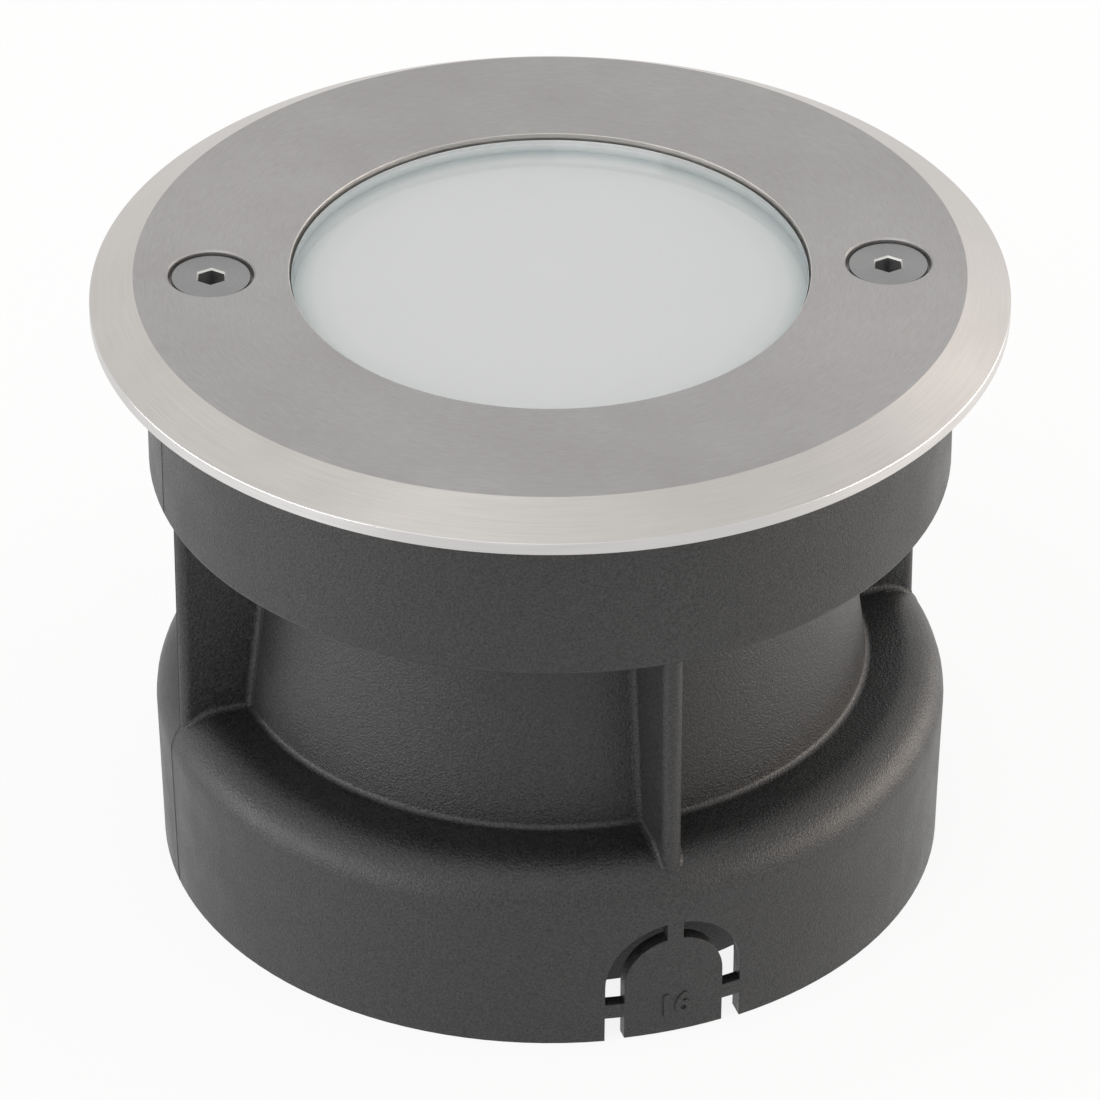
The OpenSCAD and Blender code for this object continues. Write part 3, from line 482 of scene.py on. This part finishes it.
def eased_outline(corners):
    """The outline as (radius, height) points, each corner of (radius, height, ease) rounded by its ease."""
    points = []
    for i, (r, z, ease) in enumerate(corners):
        here = Vector((r, z))
        if not ease:
            points.append(here)
            continue
        back = (Vector(corners[i - 1][:2]) - here).normalized()
        ahead = (Vector(corners[(i + 1) % len(corners)][:2]) - here).normalized()
        half = back.angle(ahead) / 2
        centre = here + (back + ahead).normalized() * ease / math.sin(half)
        start = here + back * ease / math.tan(half) - centre
        end = here + ahead * ease / math.tan(half) - centre
        for k in range(ARC_STEPS + 1):
            points.append(centre + start.lerp(end, k / ARC_STEPS).normalized() * ease)
    return points


ON_AXIS = 1e-6


def spin(name, stations, steps, centre=(0, 0), close=True, start=0):
    """A mesh turned about an upright axis. A station is a point (radius, height), or a list with one point
    for each step. The first step stands at start degrees, and close joins the last station to the first."""
    verts, rings = [], []
    for station in stations:
        per_step = station if isinstance(station, list) else [station] * steps
        if not isinstance(station, list) and station[0] < ON_AXIS:
            rings.append([len(verts)] * steps)
            verts.append((centre[0] * MM, centre[1] * MM, station[1] * MM))
            continue
        rings.append(list(range(len(verts), len(verts) + steps)))
        for k, (r, z) in enumerate(per_step):
            turn = 2 * math.pi * k / steps + math.radians(start)
            verts.append(((centre[0] + r * math.cos(turn)) * MM,
                          (centre[1] + r * math.sin(turn)) * MM, z * MM))
    faces = []
    pairs = list(zip(rings, rings[1:])) + ([(rings[-1], rings[0])] if close else [])
    for low, high in pairs:
        for k in range(steps):
            face = list(dict.fromkeys((low[k], low[(k + 1) % steps], high[(k + 1) % steps], high[k])))
            if len(face) > 2:
                faces.append(face)
    return closed_mesh(name, verts, faces)


GLASS_STEPS = 192
GLASS_FOOT, MILKY_TOP, RIM_TOP, FACE_TOP = 72.5, 74.7, 75.3, 78.75
RIM_R, BODY_R, FACE_R = 33.95, 30.93, 30.9
LAYER_GAP = 0.02  # between the satin layer and the clear glass over it
RIM_EASE, FACE_EASE = 0.3, 0.12
glass_body = spin("glass_body", eased_outline((
    (0, GLASS_FOOT, 0), (RIM_R, GLASS_FOOT, RIM_EASE), (RIM_R, RIM_TOP, RIM_EASE), (BODY_R, RIM_TOP, 0),
    (BODY_R, MILKY_TOP, 0), (0, MILKY_TOP, 0))), GLASS_STEPS, close=False)
glass_face = spin("glass_face", eased_outline((
    (0, MILKY_TOP + LAYER_GAP, 0), (FACE_R, MILKY_TOP + LAYER_GAP, 0), (FACE_R, FACE_TOP, FACE_EASE),
    (0, FACE_TOP, 0))), GLASS_STEPS, close=False)

clear_glass, pane, pane_shader, pane_place = start_material(
    "float_glass_tempered", {"IOR": 1.52, "Transmission Weight": 1.0, "Roughness": 0.0,
                             "Base Color": linear("#feffff")})
emboss(pane, pane_shader, speckle(pane, pane_place, 9), 0.004)

# The milky layer's colour carries painted shade, darker and greener from 25.5 mm out to the rim.
PAINTED_SHADE_FROM = 25.5  # where the darker shade towards the rim begins
milky_glass, milk, milk_shader, milk_place = start_material("glass_milky_layer", {"IOR": 1.52})
outwards = add(milk, "VectorMath", {"operation": "MULTIPLY", 1: (1, 1, 0)}, {0: milk_place})
reach = add(milk, "VectorMath", {"operation": "LENGTH"}, {0: outwards.outputs[0]})
painted_shade_mask = add(milk, "MapRange", {"From Min": PAINTED_SHADE_FROM * MM, "From Max": FACE_R * MM},
             {"Value": reach.outputs["Value"]})
# Painted shade: this ramp darkens and greens the milky layer towards the rim of the clear face.
painted_rim_shade = add(milk, "ValToRGB", {}, {0: painted_shade_mask.outputs[0]})
painted_rim_shades = painted_rim_shade.color_ramp.elements
painted_rim_shades[0].color, painted_rim_shades[1].color = linear("#fffefe"), linear("#b4c4c6")
for where, colour in ((0.5, "#f9fbfa"), (0.72, "#eaf0ee"), (0.88, "#d2dddc")):
    painted_rim_shades.new(where).color = linear(colour)
clouds = add(milk, "MapRange", {"To Min": 0.975, "To Max": 1.0}, {"Value": speckle(milk, milk_place, 22)})
milk_colour_and_painted_shade = add(milk, "VectorMath", {"operation": "SCALE"},
                  {0: painted_rim_shade.outputs[0], "Scale": clouds.outputs[0]})
milk.links.new(milk_colour_and_painted_shade.outputs[0], milk_shader.inputs["Base Color"])
dull(milk, milk_shader, speckle(milk, milk_place, 1.2), 0.5, 0.6)

work = bmesh.new()
for part in (glass_body, glass_face):
    work.from_mesh(part)
    bpy.data.meshes.remove(part)
glass_mesh = bpy.data.meshes.new("cover_glass_clear")
work.to_mesh(glass_mesh)
work.free()
glass = add_piece("cover_glass_clear", glass_mesh, milky_glass, "light_unit")
glass_mesh.materials.append(clear_glass)
for face in glass_mesh.polygons:
    above_layer = face.center.z > (MILKY_TOP + LAYER_GAP / 2) * MM
    if above_layer and face.center.xy.length < (FACE_R + BODY_R) / 2 * MM:
        face.material_index = 1
smooth(glass)
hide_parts("cover_glass")


# Clamp ring. Die-cast aluminium with a turned lip that presses the seal down on the glass. Six screws hold
# it on the flange of the lamp housing.
dress(machined("aluminium_turned", "#8f9092", "#a3a4a6", rough=0.36, spacing=0.35, depth=0.008), "clamp_ring")


# Driver. A round board in green solder mask on three posts, with copper areas some 4 mm across. It carries
# the transformer under yellow tape, a sleeved capacitor and a terminal block.
board_mask, lacquer, lacquer_shader, lacquer_place = start_material("green_solder_mask", {"IOR": 1.52})
copper = add(lacquer, "TexVoronoi", {"feature": "DISTANCE_TO_EDGE", "Scale": 260.0},
             {"Vector": lacquer_place})
copper_edge = add(lacquer, "MapRange", {"From Min": 0.03, "From Max": 0.08},
                  {"Value": copper.outputs["Distance"]})
drift(lacquer, lacquer_shader, copper_edge.outputs[0], "#1d5a34", "#2c7446")
dull(lacquer, lacquer_shader, speckle(lacquer, lacquer_place, 2), 0.25, 0.35)
emboss(lacquer, lacquer_shader, copper_edge.outputs[0], 0.035, 0.08)
dress(board_mask, "driver_board")
tape = moulded("yellow_polyester_tape", "#cfa02a", "#dcb23c", rough=0.25, grain=1.2, depth=0.02, edge=0.12,
               ior=1.6)
dress(tape, "driver_transformer")
shrink_sleeve = moulded("blue_black_shrink_sleeve", "#1e2433", "#2a3144", rough=0.3, grain=0.8, depth=0.01,
                        edge=0.12)
dress(shrink_sleeve, "driver_capacitor")
green_polyamide = moulded("green_polyamide", "#3f8a55", "#4a9861", rough=0.4, grain=0.3, depth=0.01,
                          edge=0.12, ior=1.53)
dress(green_polyamide, "terminal_block")


# Cable gland. Body, lock nut and dome nut moulded in black nylon, with the faint grain of the mould. The
# lock nut holds the body in the floor of the lamp housing.
black_nylon = moulded("black_nylon_moulded", "#1b1b1c", "#232324", rough=0.38, grain=0.35, depth=0.012,
                      edge=0.2, ior=1.53)
dress(black_nylon, "gland_body", "gland_lock_nut", "gland_nut")


# Trim ring. Turned from stainless steel. The flat top is brushed round and round, so that it shines in soft
# rays. The slope and the rim of the opening are turned finer, the upright edge is ground, and all its edges
# are barely broken.
CLOUD_SIZE, CLOUD_SHARE = 11, 0.3
CLOUD_LESS, CLOUD_MORE = 0.04, 0.05


def brushed(name, dark, light, rough, spacing, runs, depth, centre=(0, 0)):
    """Steel brushed in circles: its gloss spreads across the brushing."""
    made, tree, shader, place = start_material(
        name, {"Metallic": 1.0, "Anisotropic": 0.65, "Anisotropic Rotation": 0.25})
    marks = turning_marks(tree, place, spacing, runs, centre)
    clouded = add(tree, "Mix", {0: CLOUD_SHARE},
                  {2: marks, 3: speckle(tree, place, CLOUD_SIZE)}).outputs[0]
    drift(tree, shader, clouded, dark, light)
    dull(tree, shader, clouded, rough - CLOUD_LESS, rough + CLOUD_MORE)
    emboss(tree, shader, marks, depth)
    round_about = add(tree, "Tangent", {"direction_type": "RADIAL", "axis": "Z"}, {})
    tree.links.new(round_about.outputs[0], shader.inputs["Tangent"])
    return made


BRUSH_SPACING = 0.13  # real brush lines are about 0.05 mm apart, drawn coarser so that they show
# The three steels differ for real in finish and roughness. Their colours are partly painted as well: the
# brushed flat darker as painted shade, the turned slope and the ground edge lighter as painted reflection.
brushed_steel_painted_shade = brushed("stainless_steel_circular_brushed", "#9b9897", "#afadac", rough=0.42,
                        spacing=BRUSH_SPACING, runs=24, depth=0.002)
turned_steel_painted_reflection = brushed("stainless_steel_fine_turned", "#b9b5b1", "#c9c5c1", rough=0.32,
                       spacing=BRUSH_SPACING, runs=6, depth=0.003)
ground_steel_painted_reflection = brushed("stainless_steel_ground_edge", "#c2c0be", "#cecccb", rough=0.33,
                       spacing=BRUSH_SPACING, runs=6, depth=0.003)
TRIM_STEPS = 256
TRIM_FOOT, EDGE_TOP, RECESS_TOP, TRIM_TOP = 75.0, 76.5, 76.9, 79.5
OPENING_R, RECESS_R, SLOPE_R, TRIM_R = 31.1, 36.7, 49.75, 55.0
trim_mesh = spin("trim_ring_brushed", eased_outline((
    (OPENING_R, RECESS_TOP, 0.1), (RECESS_R, RECESS_TOP, 0), (RECESS_R, TRIM_FOOT, 0.1),
    (TRIM_R, TRIM_FOOT, 0.12), (TRIM_R, EDGE_TOP, 0.2), (SLOPE_R, TRIM_TOP, 0.25),
    (OPENING_R, TRIM_TOP, 0.1))), TRIM_STEPS)

# Each screw hole is plain at its foot, then countersunk, with a seat for the head's rim and a broken edge.
SCREW_SPOTS = {"right": (38.84, -11.14), "left": (-38.84, 11.14)}
DRILL_STEPS = 96
DRILL = ((0, 74.0), (2.65, 74.0), (2.65, 76.45), (4.4, 78.2), (5.15, 78.2), (5.15, 79.3), (5.55, 79.7),
         (0, 79.7))
trim = add_piece("trim_ring_brushed", trim_mesh, brushed_steel_painted_shade, "trim")
cutters = []
for side, spot in SCREW_SPOTS.items():
    drill_mesh = spin("drill_" + side, DRILL, DRILL_STEPS, spot, close=False)
    drill = bpy.data.objects.new("drill_" + side, drill_mesh)
    bpy.context.scene.collection.objects.link(drill)
    hole = trim.modifiers.new("hole_" + side, "BOOLEAN")
    hole.solver = "EXACT"
    hole.object = drill
    cutters.append(drill)


def apply_modifiers(piece, tools):
    """Keeps the piece's shape as its modifiers make it, and removes the tools they used."""
    done = bpy.data.meshes.new_from_object(piece.evaluated_get(bpy.context.evaluated_depsgraph_get()))
    piece.modifiers.clear()
    piece.data = done
    for tool in tools:
        bpy.data.objects.remove(tool)


apply_modifiers(trim, cutters)
trim.data.materials.append(turned_steel_painted_reflection)
trim.data.materials.append(ground_steel_painted_reflection)
RIM_TO, TURNED_FROM, GROUND_FROM = 31.4, 49.7, 54.7
for face in trim.data.polygons:
    reach = face.center.xy.length
    if reach > GROUND_FROM * MM:
        face.material_index = 2
    elif reach > TURNED_FROM * MM or reach < RIM_TO * MM:
        face.material_index = 1
smooth(trim)
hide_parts("trim_ring")


# Screw washers. Two push-on discs that keep the screws in the trim ring, moulded in natural nylon, which is
# milky with a faint yellow.
natural_nylon = moulded("natural_nylon", "#e2ded2", "#ebe7dc", rough=0.4, grain=0.35, depth=0.01, edge=0.1,
                        ior=1.53)
dress(natural_nylon, "screw_retainers")


# Trim screws. Countersunk M5 screws with a 3 mm hexagon socket, cold-headed in stainless steel with a
# rolled thread. The flat of the head is duller than the ring. The hexagon's broken edge is smoother, and
# its lighter colour is a painted highlight.
SCREW_STEPS = 72
PITCH, ROWS_PER_PITCH = 0.8, 12
THREAD_FOOT, THREAD_TOP = 59.5, 72.8
ROOT, CREST = 2.1, 2.5
FLANK_RISE, ROOT_FLAT = 1.35, 0.15
thread = []
rows = round((THREAD_TOP - THREAD_FOOT) / PITCH * ROWS_PER_PITCH)
for i in range(rows + 1):
    z = THREAD_FOOT + (THREAD_TOP - THREAD_FOOT) * i / rows
    ring = []
    for k in range(SCREW_STEPS):
        phase = ((z - THREAD_FOOT) / PITCH - k / SCREW_STEPS) % 1
        rise = min(1, max(0, FLANK_RISE * (1 - abs(2 * phase - 1)) - ROOT_FLAT))
        start = min(1, (z - THREAD_FOOT) / PITCH)
        ring.append((ROOT + (CREST - ROOT) * rise * start, z))
    thread.append(ring)

# Tip and socket are (radius, height) points, and the head's corners have an ease as well.
TIP = ((0, 59.0), (1.7, 59.0), (ROOT, 59.4))
HEAD = ((CREST, 73.1, 0), (CREST, 76.45, 0.2), (4.75, 78.8, 0.08), (4.75, 79.1, 0.14), (0, 79.1, 0))
screw_outline = [*TIP, *thread, *[tuple(point) for point in eased_outline(HEAD)]]
KEY_R = 1.5 / math.cos(math.radians(30))
KEY_TURN = 72  # degrees
SOCKET = ((0, 76.2), (1.3, 76.8), (KEY_R, 76.8), (KEY_R, 78.88), (KEY_R + 0.35, 79.23), (0, 79.23))
BROKEN_EDGE_R = 2.1
STEEP, FLAT = 0.3, 0.95  # how far the broken edge's faces may look up
# The broken edge's lower roughness is real; its lighter colour is a painted highlight.
pressed_edge_painted_highlight = barrelled("stainless_steel_pressed_socket", "#c9c7c4", "#d6d4d1", rough=0.2)
for side, spot in SCREW_SPOTS.items():
    screw_mesh = spin("trim_screw_" + side, screw_outline, SCREW_STEPS, spot, close=False)
    screw_steel = brushed("stainless_steel_cold_headed_" + side, "#888888", "#989898", rough=0.38,
                          spacing=0.2, runs=12, depth=0.003, centre=spot)
    screw = add_piece("trim_screw_" + side, screw_mesh, screw_steel, side + "_screw")
    socket_mesh = spin("socket_" + side, SOCKET, 6, spot, close=False, start=KEY_TURN)
    socket = bpy.data.objects.new("socket_" + side, socket_mesh)
    bpy.context.scene.collection.objects.link(socket)
    cut = screw.modifiers.new("socket", "BOOLEAN")
    cut.solver = "EXACT"
    cut.object = socket
    apply_modifiers(screw, [socket])
    screw.data.materials.append(pressed_edge_painted_highlight)
    for face in screw.data.polygons:
        reach = (face.center.xy / MM - Vector(spot)).length
        if reach < BROKEN_EDGE_R and STEEP < face.normal.z < FLAT:
            face.material_index = 1
    smooth(screw)
    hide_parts(side + "_trim_screw")
